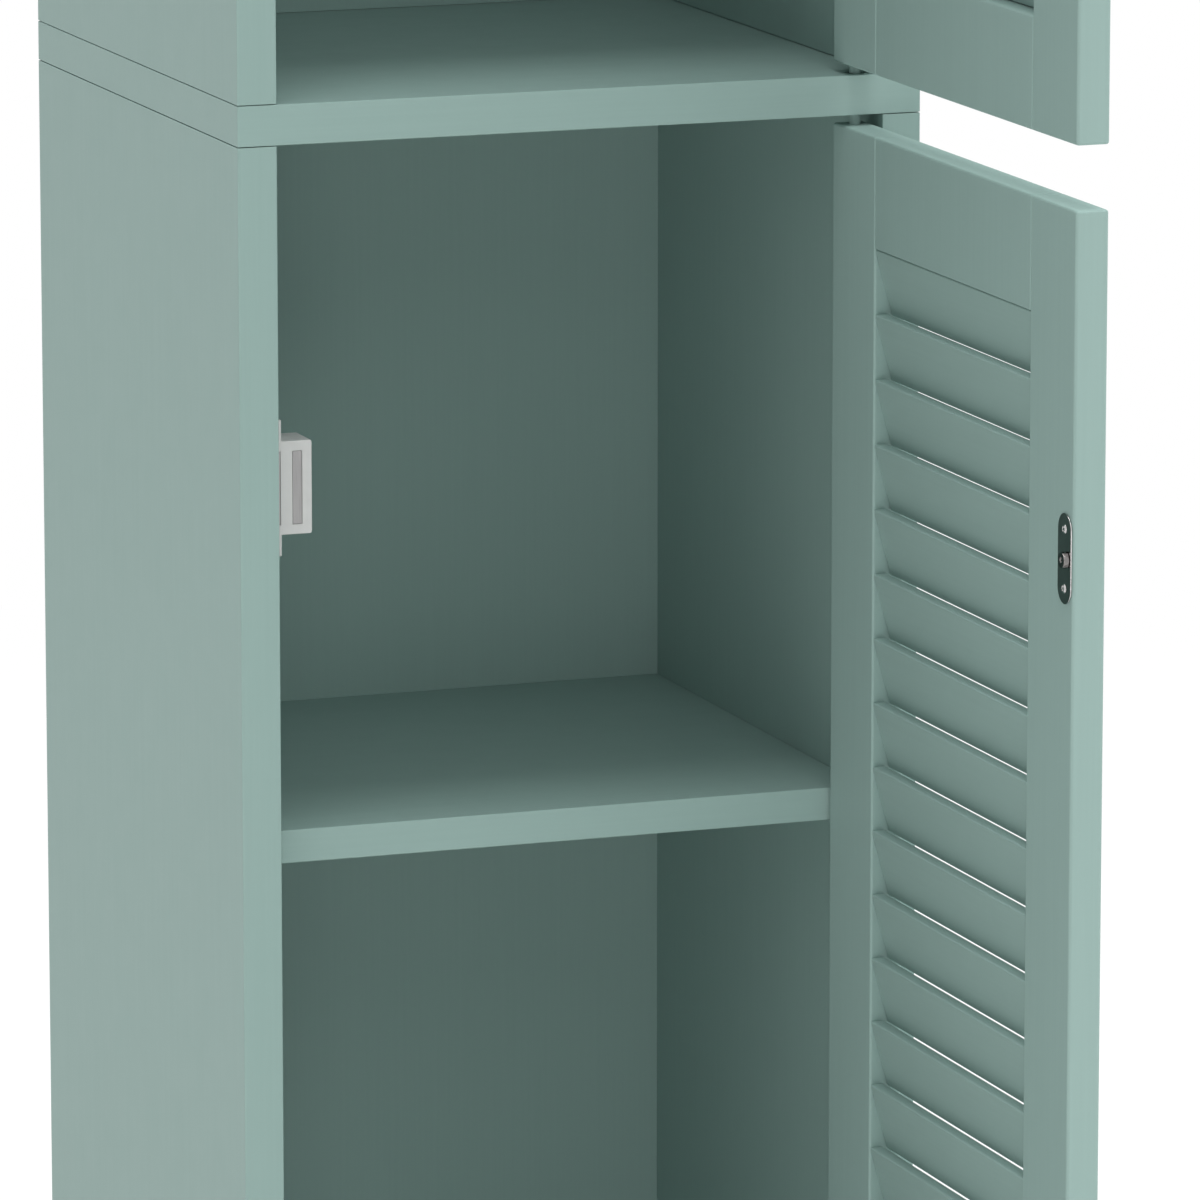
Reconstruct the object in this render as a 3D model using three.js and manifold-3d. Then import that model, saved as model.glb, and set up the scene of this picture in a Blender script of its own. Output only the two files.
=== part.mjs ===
// Louvred door cabinet, in millimetres, +Z up.
// A tall narrow cabinet of painted boards: two bays, one above the other, each with a fixed
// shelf, a magnetic catch and a louvred door that turns on two pins at its right edge.
// Both doors are modelled standing open at a right angle. The carcass front is along -Y.
// The origin is the middle of the whole part's box, on the floor.

import * as THREE from 'three';
import { mergeVertices } from 'three/addons/utils/BufferGeometryUtils.js';
import Module from 'manifold-3d';

const wasm = await Module();
wasm.setup();

// Carcass boards
const WIDTH = 320;
const DEPTH = 300;
const BOARD = 18;
const TOE_HEIGHT = 72;
const TOE_BOARD = 15;
const TOE_SETBACK = 30;
const SPACE_BELOW_SHELF = 312;
const SPACE_ABOVE_SHELF = 310;
const SHELF = 15;
const SHELF_SETBACK = 19;
const BACK = 4;
const BACK_INSET = 10;
const BACK_GROOVE = 5;

// Clearances: between boards that butt, and round tongues, pins and plates in their seats
const SEAM = 0.2;
const FIT = 0.3;
const OVERRUN = 1;

// Door frames
const DOOR = 15;
const DOOR_SIDE_GAP = 3;
const DOOR_HEAD_GAP = 5;
const DOOR_FOOT_GAP = 4.7;
const DOOR_ROUND = 1.5;
const HINGE_STILE = 51;
const FREE_STILE = 49;
const RAIL = 49;
const RAIL_TENON = 12;
const RAIL_TENON_THICKNESS = 5;
const RAIL_TENON_SHOULDER = 8;

// Louvre slats
const SLAT_COUNT = 18;
const SLAT_THICKNESS = 6.3;
const SLAT_INSET = 0.3;
const SLAT_LAP = 0.8;
const SLAT_HEAD_GAP = 0.8;
const SLAT_FOOT_GAP = 0.5;
const SLAT_TONGUE = 5;
const SLAT_SHOULDER = 7;
const BANK_STRIP_MARGIN = 2;

// Pivot pins and their bushes
const PIN_RADIUS = 2.6;
const PIN_HOLD = 25;
const BUSH_RADIUS = 4.5;
const BUSH_HEIGHT = 7;
const BUSH_FLOOR = 1.5;

// Magnetic catches on the left side
const CATCH_DROP = 155.5;
const CATCH_GAP = 0.3;
const CATCH_REACH = 21.5;
const CATCH_DEPTH = 20;
const CATCH_HEIGHT = 42;
const CATCH_BASE = 7.6;
const CATCH_BASE_HEIGHT = 61;
const CATCH_BRIDGE = 2;
const POLE_THICKNESS = 5;
const POLE_SPREAD = 10;
const POLE_OFFSET = 1.1;
const POLE_DEPTH = 14;
const POLE_HEIGHT = 33;
const MAGNET_END_GAP = 1.5;

// Strike plates and their studs on the doors
const STRIKE_DROP = 154.5;
const STRIKE_WIDTH = 14.2;
const STRIKE_HEIGHT = 39.2;
const STRIKE_THICKNESS = 1;
const STRIKE_EDGE = 7.7;
const STUD_RADIUS = 3.5;
const STUD_OFFSET = 2.6;
const STUD_HEAD = 2.4;
const STUD_HEAD_ROUND = 0.5;
const STUD_SHANK_RADIUS = 1.5;
const STUD_SHANK = 10;

// Facets on round work
const ROUND_FACETS = 24;
const ARC_FACETS = 2;
const PLATE_END_FACETS = 6;

// Levels and places that follow from the sizes above
const bayHeight = SPACE_BELOW_SHELF + SHELF + SPACE_ABOVE_SHELF;
const baseTop = TOE_HEIGHT + BOARD;
const midBottom = baseTop + bayHeight;
const midTop = midBottom + BOARD;
const topBottom = midTop + bayHeight;
const topTop = topBottom + BOARD;
const insideX = WIDTH / 2 - BOARD;
const backFront = DEPTH - BACK_INSET - BACK;

const pinX = insideX - DOOR_SIDE_GAP - DOOR / 2;
const pinY = DOOR / 2;
const doorInner = pinX - DOOR / 2;
const doorOuter = pinX + DOOR / 2;
const doorWidth = 2 * (insideX - DOOR_SIDE_GAP);
const doorHeight = bayHeight - DOOR_HEAD_GAP - DOOR_FOOT_GAP;
const hingeEdge = pinY + DOOR / 2;
const freeEdge = hingeEdge - doorWidth;
const openRear = hingeEdge - HINGE_STILE;
const openFront = freeEdge + FREE_STILE;

const slatSpan = doorHeight - 2 * RAIL - SLAT_HEAD_GAP - SLAT_FOOT_GAP;
const slatPitch = (slatSpan - SLAT_LAP) / SLAT_COUNT;
const slatHeight = slatPitch + SLAT_LAP;
const slatLean = DOOR - 2 * SLAT_INSET - SLAT_THICKNESS;

const catchFront = DOOR + 2 * SEAM + STRIKE_THICKNESS + STUD_HEAD + CATCH_GAP;
const polesMiddle = -insideX + CATCH_REACH / 2 - POLE_OFFSET;
const strikeY = freeEdge + STRIKE_EDGE;
const studY = strikeY - STUD_OFFSET;

const paint = { color: 0x8fada5, roughness: 0.5, metalness: 0 };
const finishes = {
  paint,
  paintedSteel: { ...paint, roughness: 0.4 },
  whitePlastic: { color: 0xd8dad8, roughness: 0.5, metalness: 0 },
  poleSteel: { color: 0x9a9898, roughness: 0.4, metalness: 1 },
  magnet: { color: 0x35373a, roughness: 0.8, metalness: 0 },
  strikeSteel: { color: 0x7d8683, roughness: 0.15, metalness: 1 },
};

// A board between its lowest and highest corners.
function board(low, high) {
  const size = high.map((value, axis) => value - low[axis]);
  const middle = high.map((value, axis) => (value + low[axis]) / 2);
  return new THREE.BoxGeometry(...size).translate(...middle);
}

function outline(points) {
  return new THREE.Shape(points.map(([across, along]) => new THREE.Vector2(across, along)));
}

function extruded(shape, length, arcFacets = ARC_FACETS) {
  return new THREE.ExtrudeGeometry(shape, {
    depth: length, bevelEnabled: false, curveSegments: arcFacets,
  });
}

// An outline in X and Y, carried upwards.
function uprightPrism(shape, bottom, top) {
  return extruded(shape, top - bottom).translate(0, 0, bottom);
}

// An outline in X and Z, carried along Y.
function lengthwisePrism(shape, front, rear) {
  return extruded(shape, rear - front).rotateX(Math.PI / 2).translate(0, rear, 0);
}

// An outline in Y and Z, carried along X.
function crosswisePrism(shape, left, right, arcFacets) {
  return extruded(shape, right - left, arcFacets)
    .rotateX(Math.PI / 2)
    .rotateZ(Math.PI / 2)
    .translate(left, 0, 0);
}

// An upright cylinder at a door's pin axis.
function pinCylinder(radius, bottom, top) {
  return new THREE.CylinderGeometry(radius, radius, top - bottom, ROUND_FACETS)
    .rotateX(Math.PI / 2)
    .translate(pinX, pinY, (bottom + top) / 2);
}

function solidOf(geometry) {
  const bare = geometry.clone();
  bare.deleteAttribute('normal');
  bare.deleteAttribute('uv');
  const merged = mergeVertices(bare);
  return new wasm.Manifold(new wasm.Mesh({
    numProp: 3,
    vertProperties: merged.attributes.position.array,
    triVerts: new Uint32Array(merged.index.array),
  }));
}

function geometryOf(solid) {
  const mesh = solid.getMesh();
  const geometry = new THREE.BufferGeometry();
  geometry.setAttribute('position', new THREE.BufferAttribute(mesh.vertProperties, 3));
  geometry.setIndex(new THREE.BufferAttribute(mesh.triVerts, 1));
  geometry.computeVertexNormals();
  return geometry;
}

// The first geometries joined, less the cuts.
function shaped(joined, cuts = []) {
  const body = joined.map(solidOf).reduce((whole, piece) => whole.add(piece));
  return geometryOf(cuts.map(solidOf).reduce((whole, cut) => whole.subtract(cut), body));
}

const cabinet = new THREE.Group();
cabinet.position.y = -(DEPTH + freeEdge) / 2;

function addPiece(name, geometry, finish) {
  const mesh = new THREE.Mesh(geometry, new THREE.MeshStandardMaterial(finish));
  mesh.name = name;
  cabinet.add(mesh);
}

// A side panel with the groove for the back panel down its inner face.
function sidePanel(side, bottom, top) {
  const inner = side * insideX;
  const outer = side * (WIDTH / 2);
  const grooveEnd = inner + side * (BACK_GROOVE + FIT);
  const grooveFront = backFront - FIT;
  const grooveRear = backFront + BACK + FIT;
  const section = outline([
    [inner, 0], [outer, 0], [outer, DEPTH], [inner, DEPTH],
    [inner, grooveRear], [grooveEnd, grooveRear], [grooveEnd, grooveFront], [inner, grooveFront],
  ]);
  return uprightPrism(section, bottom, top);
}

// The seat of a bush, sunk from a board's face; direction is +1 where the seat opens upwards.
function bushSeat(face, direction) {
  const deep = face - direction * (BUSH_HEIGHT + FIT);
  const open = face + direction * OVERRUN;
  return pinCylinder(BUSH_RADIUS + FIT, Math.min(deep, open), Math.max(deep, open));
}

// A cup-shaped bush, flush with the board's face.
function bush(face, direction) {
  const bore = PIN_RADIUS + FIT;
  const profile = [
    [0, 0], [BUSH_RADIUS, 0], [BUSH_RADIUS, BUSH_HEIGHT],
    [bore, BUSH_HEIGHT], [bore, BUSH_FLOOR], [0, BUSH_FLOOR],
  ].map(([radius, level]) => new THREE.Vector2(radius, level));
  return new THREE.LatheGeometry(profile, ROUND_FACETS)
    .rotateX(direction * Math.PI / 2)
    .translate(pinX, pinY, face - direction * BUSH_HEIGHT);
}

function addCarcass() {
  const boardEnd = insideX - SEAM;
  const boardRear = backFront - SEAM;
  addPiece('toe_board', board(
    [-boardEnd, TOE_SETBACK, 0],
    [boardEnd, TOE_SETBACK + TOE_BOARD, TOE_HEIGHT - SEAM],
  ), finishes.paint);
  addPiece('base_board', shaped(
    [board([-boardEnd, 0, TOE_HEIGHT], [boardEnd, boardRear, baseTop])],
    [bushSeat(baseTop, 1)],
  ), finishes.paint);
  addPiece('mid_board', shaped(
    [board([-WIDTH / 2, 0, midBottom], [WIDTH / 2, DEPTH, midTop])],
    [bushSeat(midBottom, -1), bushSeat(midTop, 1)],
  ), finishes.paint);
  addPiece('top_board', shaped(
    [board([-WIDTH / 2, 0, topBottom], [WIDTH / 2, DEPTH, topTop])],
    [bushSeat(topBottom, -1)],
  ), finishes.paint);
  addBay('lower', 0, TOE_HEIGHT, baseTop, midBottom - SEAM);
  addBay('upper', midTop + SEAM, midTop + SEAM, midTop, topBottom - SEAM);
}

// The side panels, back panel and fixed shelf of one bay.
function addBay(bay, sideBottom, backBottom, floor, top) {
  const backEnd = insideX + BACK_GROOVE;
  const boardEnd = insideX - SEAM;
  const shelfBottom = floor + SPACE_BELOW_SHELF;
  addPiece(`${bay}_side_left`, sidePanel(-1, sideBottom, top), finishes.paint);
  addPiece(`${bay}_side_right`, sidePanel(1, sideBottom, top), finishes.paint);
  addPiece(`${bay}_back_panel`, board(
    [-backEnd, backFront, backBottom],
    [backEnd, backFront + BACK, top],
  ), finishes.paint);
  addPiece(`${bay}_shelf`, board(
    [-boardEnd, SHELF_SETBACK, shelfBottom],
    [boardEnd, backFront - SEAM, shelfBottom + SHELF],
  ), finishes.paint);
}

// A white catch on the left side: a housing, two pole plates flush in its face and a magnet.
function addCatch(bay, level) {
  const wall = -insideX + SEAM;
  const rear = catchFront + CATCH_DEPTH;
  const seatRear = catchFront + POLE_DEPTH + FIT;
  const around = (half) => [level - half, level + half];
  const block = (left, right, front, back, half) => {
    const [low, high] = around(half);
    return board([left, front, low], [right, back, high]);
  };
  const poleCentres = [polesMiddle - POLE_SPREAD / 2, polesMiddle + POLE_SPREAD / 2];
  const slots = poleCentres.map((centre) => block(
    centre - POLE_THICKNESS / 2 - FIT,
    centre + POLE_THICKNESS / 2 + FIT,
    catchFront - OVERRUN,
    seatRear,
    POLE_HEIGHT / 2 + FIT,
  ));
  const chamber = block(...poleCentres, catchFront + CATCH_BRIDGE, seatRear, POLE_HEIGHT / 2 + FIT);
  addPiece(`${bay}_catch_housing`, shaped([
    block(wall, wall + CATCH_BASE, catchFront, rear, CATCH_BASE_HEIGHT / 2),
    block(wall, -insideX + CATCH_REACH, catchFront, rear, CATCH_HEIGHT / 2),
  ], [...slots, chamber]), finishes.whitePlastic);
  ['wall', 'room'].forEach((name, index) => addPiece(`${bay}_catch_pole_${name}_side`, block(
    poleCentres[index] - POLE_THICKNESS / 2,
    poleCentres[index] + POLE_THICKNESS / 2,
    catchFront,
    catchFront + POLE_DEPTH,
    POLE_HEIGHT / 2,
  ), finishes.poleSteel));
  addPiece(`${bay}_catch_magnet`, block(
    poleCentres[0] + POLE_THICKNESS / 2 + FIT,
    poleCentres[1] - POLE_THICKNESS / 2 - FIT,
    catchFront + CATCH_BRIDGE + FIT,
    catchFront + POLE_DEPTH,
    POLE_HEIGHT / 2 - MAGNET_END_GAP,
  ), finishes.magnet);
}

// A stile's section, with its outer corners rounded.
function stileSection(edge, seam) {
  const turn = Math.sign(edge - seam);
  const roundY = edge - turn * DOOR_ROUND;
  const clockwise = turn < 0;
  const quarter = turn * Math.PI / 2;
  const section = new THREE.Shape();
  section.moveTo(doorInner, seam);
  section.lineTo(doorOuter, seam);
  section.absarc(doorOuter - DOOR_ROUND, roundY, DOOR_ROUND, 0, quarter, clockwise);
  section.absarc(doorInner + DOOR_ROUND, roundY, DOOR_ROUND, quarter, 2 * quarter, clockwise);
  return section;
}

// A rail's tenon at one end, or the mortise for it when play is given.
function railTenon(bottom, seam, outwards, play = 0) {
  const reach = seam + outwards * (RAIL_TENON + play);
  const root = seam - outwards * OVERRUN;
  const half = RAIL_TENON_THICKNESS / 2 + play;
  return board(
    [pinX - half, Math.min(reach, root), bottom + RAIL_TENON_SHOULDER - play],
    [pinX + half, Math.max(reach, root), bottom + RAIL - RAIL_TENON_SHOULDER + play],
  );
}

function rail(bottom) {
  return shaped([
    board([doorInner, openFront + SEAM, bottom], [doorOuter, openRear - SEAM, bottom + RAIL]),
    railTenon(bottom, openRear, 1),
    railTenon(bottom, openFront, -1),
  ]);
}

// A slat's leaning section in X and Z. Its ends are trimmed for the tongue, and grown for a pocket.
function slatSection(top, trim = 0, grow = 0) {
  const upper = top - trim + grow;
  const lower = top - slatHeight + trim - grow;
  const faceAt = (level) => doorInner + SLAT_INSET + slatLean * (top - level) / slatHeight;
  return outline([
    [faceAt(upper) - grow, upper],
    [faceAt(upper) + SLAT_THICKNESS + grow, upper],
    [faceAt(lower) + SLAT_THICKNESS + grow, lower],
    [faceAt(lower) - grow, lower],
  ]);
}

// A slat between the stiles with a shouldered tongue at each end.
function slatPieces(top) {
  return [
    lengthwisePrism(slatSection(top), openFront + FIT, openRear - FIT),
    lengthwisePrism(slatSection(top, SLAT_SHOULDER), openFront - SLAT_TONGUE, openRear + SLAT_TONGUE),
  ];
}

// The pocket in one stile for a slat's tongue.
function slatPocket(top, seam, outwards) {
  const reach = seam + outwards * (SLAT_TONGUE + FIT);
  const root = seam - outwards * OVERRUN;
  const section = slatSection(top, SLAT_SHOULDER, FIT);
  return lengthwisePrism(section, Math.min(reach, root), Math.max(reach, root));
}

// A strip that joins the slats' tongues in one stile, or the groove for it when play is given.
function bankStrip(bottom, top, seam, outwards, play = 0) {
  const reach = seam + outwards * (SLAT_TONGUE + play);
  const root = seam + outwards * (play > 0 ? -OVERRUN : FIT);
  return board(
    [doorInner + BANK_STRIP_MARGIN - play, Math.min(reach, root), bottom - play],
    [doorOuter - BANK_STRIP_MARGIN + play, Math.max(reach, root), top + play],
  );
}

// A pin that stands in a board's bush and is held in the door's end.
function doorPin(face, doorEnd, direction) {
  const foot = face - direction * (BUSH_HEIGHT - BUSH_FLOOR - FIT);
  const head = doorEnd + direction * PIN_HOLD;
  return pinCylinder(PIN_RADIUS, Math.min(foot, head), Math.max(foot, head));
}

function pinHole(doorEnd, direction) {
  const deep = doorEnd + direction * (PIN_HOLD + FIT);
  const open = doorEnd - direction * OVERRUN;
  return pinCylinder(PIN_RADIUS + FIT, Math.min(deep, open), Math.max(deep, open));
}

// A round bar along X, on the stud's axis.
function studBar(radius, left, right, level) {
  return new THREE.CylinderGeometry(radius, radius, right - left, ROUND_FACETS)
    .rotateZ(Math.PI / 2)
    .translate((left + right) / 2, studY, level);
}

// A raised stud: a pan head on the plate and a shank in the stile.
function strikeStud(level) {
  const profile = [
    [0, -STUD_SHANK], [STUD_SHANK_RADIUS, -STUD_SHANK], [STUD_SHANK_RADIUS, 0],
    [STUD_RADIUS, 0], [STUD_RADIUS, STUD_HEAD - STUD_HEAD_ROUND],
    [STUD_RADIUS - STUD_HEAD_ROUND, STUD_HEAD], [0, STUD_HEAD],
  ].map(([radius, along]) => new THREE.Vector2(radius, along));
  return new THREE.LatheGeometry(profile, ROUND_FACETS)
    .rotateZ(Math.PI / 2)
    .translate(doorInner - STRIKE_THICKNESS - 2 * SEAM, studY, level);
}

// An oblong plate with round ends, bored for the stud, which stands off its middle.
function strikePlate(level) {
  const radius = STRIKE_WIDTH / 2;
  const straight = STRIKE_HEIGHT / 2 - radius;
  const left = doorInner - SEAM - STRIKE_THICKNESS;
  const shape = new THREE.Shape();
  shape.absarc(strikeY, level + straight, radius, 0, Math.PI, false);
  shape.absarc(strikeY, level - straight, radius, Math.PI, 2 * Math.PI, false);
  const blank = crosswisePrism(shape, left, left + STRIKE_THICKNESS, PLATE_END_FACETS);
  const bore = studBar(STUD_SHANK_RADIUS + FIT, left - OVERRUN, doorInner + OVERRUN, level);
  return shaped([blank], [bore]);
}

// One louvred door on its pins, between the faces of the boards below and above it.
function addDoor(bay, floor, ceiling, strikeLevel, addSlats) {
  const bottom = floor + DOOR_FOOT_GAP;
  const top = ceiling - DOOR_HEAD_GAP;
  const railBottoms = [bottom, top - RAIL];
  const slatTops = Array.from({ length: SLAT_COUNT },
    (_, index) => top - RAIL - SLAT_HEAD_GAP - index * slatPitch);
  const seats = addSlats(bay, slatTops);
  const mortises = (seam, outwards) => [
    ...railBottoms.map((railBottom) => railTenon(railBottom, seam, outwards, FIT)),
    ...seats(seam, outwards),
  ];
  const studHole = studBar(
    STUD_SHANK_RADIUS + FIT, doorInner - OVERRUN, doorInner + STUD_SHANK, strikeLevel);
  addPiece(`${bay}_door_hinge_stile`, shaped(
    [uprightPrism(stileSection(hingeEdge, openRear), bottom, top)],
    [...mortises(openRear, 1), pinHole(bottom, 1), pinHole(top, -1)],
  ), finishes.paint);
  addPiece(`${bay}_door_free_stile`, shaped(
    [uprightPrism(stileSection(freeEdge, openFront), bottom, top)],
    [...mortises(openFront, -1), studHole],
  ), finishes.paint);
  addPiece(`${bay}_door_bottom_rail`, rail(railBottoms[0]), finishes.paint);
  addPiece(`${bay}_door_top_rail`, rail(railBottoms[1]), finishes.paint);
  addPiece(`${bay}_door_bottom_pin`, doorPin(floor, bottom, 1), finishes.paintedSteel);
  addPiece(`${bay}_door_top_pin`, doorPin(ceiling, top, -1), finishes.paintedSteel);
  addPiece(`${bay}_door_bottom_bush`, bush(floor, 1), finishes.whitePlastic);
  addPiece(`${bay}_door_top_bush`, bush(ceiling, -1), finishes.whitePlastic);
  addPiece(`${bay}_strike_plate`, strikePlate(strikeLevel), finishes.strikeSteel);
  addPiece(`${bay}_strike_stud`, strikeStud(strikeLevel), finishes.strikeSteel);
}

// Separate slats, each in pockets of its own. Returns the cuts they need in a stile.
function addSeparateSlats(bay, slatTops) {
  slatTops.forEach((top, index) => {
    const number = String(index + 1).padStart(2, '0');
    addPiece(`${bay}_slat_${number}`, shaped(slatPieces(top)), finishes.paint);
  });
  return (seam, outwards) => slatTops.map((top) => slatPocket(top, seam, outwards));
}

// The same slats joined by a strip along their tongues. Returns the groove they need in a stile.
function addSlatBank(bay, slatTops) {
  const stripTop = slatTops[0] - SLAT_SHOULDER;
  const stripBottom = slatTops[SLAT_COUNT - 1] - slatHeight + SLAT_SHOULDER;
  addPiece(`${bay}_louvre_bank`, shaped([
    bankStrip(stripBottom, stripTop, openRear, 1),
    bankStrip(stripBottom, stripTop, openFront, -1),
    ...slatTops.flatMap(slatPieces),
  ]), finishes.paint);
  return (seam, outwards) => [bankStrip(stripBottom, stripTop, seam, outwards, FIT)];
}

addCarcass();
addCatch('lower', midBottom - CATCH_DROP);
addCatch('upper', midTop + CATCH_DROP);
addDoor('lower', baseTop, midBottom, midBottom - STRIKE_DROP, addSeparateSlats);
addDoor('upper', midTop, topBottom, midTop + STRIKE_DROP, addSlatBank);

export default cabinet;
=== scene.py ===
"""Louvred door cabinet: boards, louvred doors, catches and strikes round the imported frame."""

import math

import bpy
import numpy as np
from bpy.props import FloatProperty, FloatVectorProperty, IntProperty, PointerProperty
from bpy.types import Operator, Panel, PropertyGroup
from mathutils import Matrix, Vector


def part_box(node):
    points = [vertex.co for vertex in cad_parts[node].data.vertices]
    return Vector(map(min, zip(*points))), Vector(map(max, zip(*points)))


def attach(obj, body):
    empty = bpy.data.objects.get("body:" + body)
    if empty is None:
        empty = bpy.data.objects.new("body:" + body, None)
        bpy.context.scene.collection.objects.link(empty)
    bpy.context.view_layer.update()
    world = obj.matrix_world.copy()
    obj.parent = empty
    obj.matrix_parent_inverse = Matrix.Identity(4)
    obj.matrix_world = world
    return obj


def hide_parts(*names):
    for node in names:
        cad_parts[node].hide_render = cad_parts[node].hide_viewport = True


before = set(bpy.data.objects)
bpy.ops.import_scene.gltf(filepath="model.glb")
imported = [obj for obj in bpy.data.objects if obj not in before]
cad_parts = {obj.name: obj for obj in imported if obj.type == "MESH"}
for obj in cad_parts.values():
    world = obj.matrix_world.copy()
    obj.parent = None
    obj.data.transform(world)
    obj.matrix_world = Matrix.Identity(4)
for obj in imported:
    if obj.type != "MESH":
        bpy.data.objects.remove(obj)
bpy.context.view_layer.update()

bl_info = {
    "name": "Louvred Door Cabinet",
    "version": (1, 0, 0),
    "blender": (4, 5, 0),
    "location": "View3D > Sidebar > Cabinet",
    "description": "Builds a painted cabinet with louvred doors, magnetic catches and strikes",
    "category": "Object",
}

MM = 0.001
BAYS = ("lower", "upper")
POLES = ("wall", "room")

# Boards with seats for bushes: the bush in the lower face of each, and the one in its upper face
SEATED_BOARDS = {
    "base_board": (None, "lower_door_bottom_bush"),
    "mid_board": ("lower_door_top_bush", "upper_door_bottom_bush"),
    "top_board": ("upper_door_top_bush", None),
}

# Faces along a quarter turn: of an arris, and of rounder work
ARRIS_STEPS = 3
ROUND_STEPS = 8
TURNED_FACETS = 48
# Cross recess: rows of points from rim to middle, the middle's share of the rim, the troughs'
# width as a share of their reach, and how steep their walls are
CROSS_ROWS = 28
CROSS_MIDDLE = 0.03
CROSS_WIDTH = 0.5
CROSS_STEEPNESS = 2.4
# Points closer than this are one point
WELD = 1e-6

# The middle part of a noise's range, which is the part that is used
NOISE_RANGE = (0.3, 0.7)
# Paint: gloss, roughness of its faces and of boards' ends, scales of its sheen, streaks and skin,
# and how far its streaks are drawn out along each axis
PAINT_GLOSS = 0.13
PAINT_ROUGHNESS = (0.43, 0.47)
END_ROUGHNESS = 1.0
SHEEN_SCALE = 60
STREAK_SCALE = 520
STREAK_DETAIL = 3
SKIN_SCALE = 900
SKIN_DEPTH = 0.02 * MM
BRUSHED = {"X": (0.02, 1, 1), "Y": (1, 0.02, 1), "Z": (1, 1, 0.02)}
# Plastic: its clouds, how much darker and rougher they make it, and its grain
CLOUD_SCALE = 120
CLOUD_SHADE = 0.94
CLOUD_ROUGHNESS = 0.12
GRAIN_SCALE = 2600
GRAIN_DEPTH = 0.012 * MM
# Metal: its fine lines, and how much darker they are
LINE_SCALE = 1800
LINE_SHADE = 0.9
LINE_DEPTH = 0.003 * MM

WHITE = (1, 1, 1, 1)
FLOOR_ROUGHNESS = 0.9
# Width of the camera's film in millimetres, and how near and far it sees
FILM_WIDTH = 36
SIGHT = (0.1, 200)

# Where the lamps look, and each one's turn to the right of the front and height over level in
# degrees, its distance and its width
LAMPS_LOOK_AT = (0, 0, 0.75)
LAMPS = {
    "top": (0, 90, 12, 7.8),
    "front": (0, 38, 4, 2.6),
    "right": (70, 45, 4, 2.6),
    "low": (-20.6, -10, 2.6, 0.5),
    "rear": (150, 30, 4, 2.6),
}

# For each direction: where an outline's two coordinates go, the coordinate along it, and its sign
DIRECTIONS = {
    "X": (1, 2, 0, 1),
    "-X": (2, 1, 0, -1),
    "Y": (2, 0, 1, 1),
    "Z": (0, 1, 2, 1),
}


def length(name, description, millimetres):
    """A length that a user may change, with its default given in millimetres."""
    return FloatProperty(
        name=name, description=description, default=millimetres * MM, min=0, unit="LENGTH",
        precision=5,
    )


def colour(name, description, default):
    """A colour, as linear red, green and blue."""
    return FloatVectorProperty(
        name=name, description=description, default=default, min=0, max=1, subtype="COLOR", size=3
    )


def power(name, description, default):
    """A lamp's power in watts."""
    return FloatProperty(name=name, description=description, default=default, min=0, unit="POWER")


def linear(code):
    """Linear red, green and blue of a hexadecimal screen colour, by the sRGB curve."""
    shares = np.array([code >> 16 & 255, code >> 8 & 255, code & 255]) / 255
    return tuple(np.where(shares <= 0.04045, shares / 12.92, ((shares + 0.055) / 1.055) ** 2.4))


class CarcassSizes(PropertyGroup):
    arris: length("Arris", "Radius of the boards' edges", 0.4)
    butt_arris: length("Butt Arris", "Radius of the edges where boards meet", 0.1)
    joint_arris: length("Joint Arris", "Radius of the side panels' ends", 0.2)
    joint_gap: length("Joint Gap", "Gap between a side panel and a board", 0.15)
    groove_play: length("Groove Play", "Room round the back panel in its groove", 0.3)
    seat_play: length("Seat Play", "Room round a bush in its seat", 0.3)


class DoorSizes(PropertyGroup):
    outer_round: length("Outer Round", "Radius of the frame's long outer edges", 1.5)
    inner_round: length("Inner Round", "Radius of the stiles' inner edges and of all ends", 1.15)
    head_round: length("Head Round", "Radius of the top rail's edges over the louvres", 0.3)
    foot_round: length("Foot Round", "Radius of the bottom rail's edges under the louvres", 1.3)
    end_round: length("End Round", "Radius of a rail's edges against the stiles", 0.9)
    joint_round: length("Joint Round", "Radius of the free stile's edge at the louvres", 0.2)
    rail_sink: length("Rail Sink", "Depth of the rails' faces under the stiles' faces", 0.05)
    rail_drop: length("Rail Drop", "How far the top rail comes down over the louvres", 0.5)
    tenon: length("Tenon Shoulder", "Height of the shoulders over and under a tenon", 8)
    tenon_thickness: length("Tenon Thickness", "Thickness of a rail's tenon", 5)


class LouvreSizes(PropertyGroup):
    count: IntProperty(name="Slats", description="Number of slats in a door", default=18, min=1)
    thickness: length("Thickness", "Level thickness of a slat", 6.1)
    front_round: length("Front Round", "Radius of a slat's upper front and lower rear edges", 0.8)
    slit_round: length("Slit Round", "Radius of the two edges beside a slit", 0.25)
    end_round: length("End Round", "Radius of a slat's ends against the stiles", 0.15)
    tongue: length("Tongue", "Length of the tongue at each end", 5.3)
    shoulder: length("Shoulder", "Height of the shoulders over and under a tongue", 7)


class PinSizes(PropertyGroup):
    pin_round: length("Pin Round", "Radius of a pin's end edges", 0.3)
    bush_wall: length("Bush Wall", "Thickness of a bush round its pin", 1.6)
    bush_floor: length("Bush Floor", "Thickness of a bush under its pin", 1.5)
    bush_round: length("Bush Round", "Radius of a bush's edges", 0.2)


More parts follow.
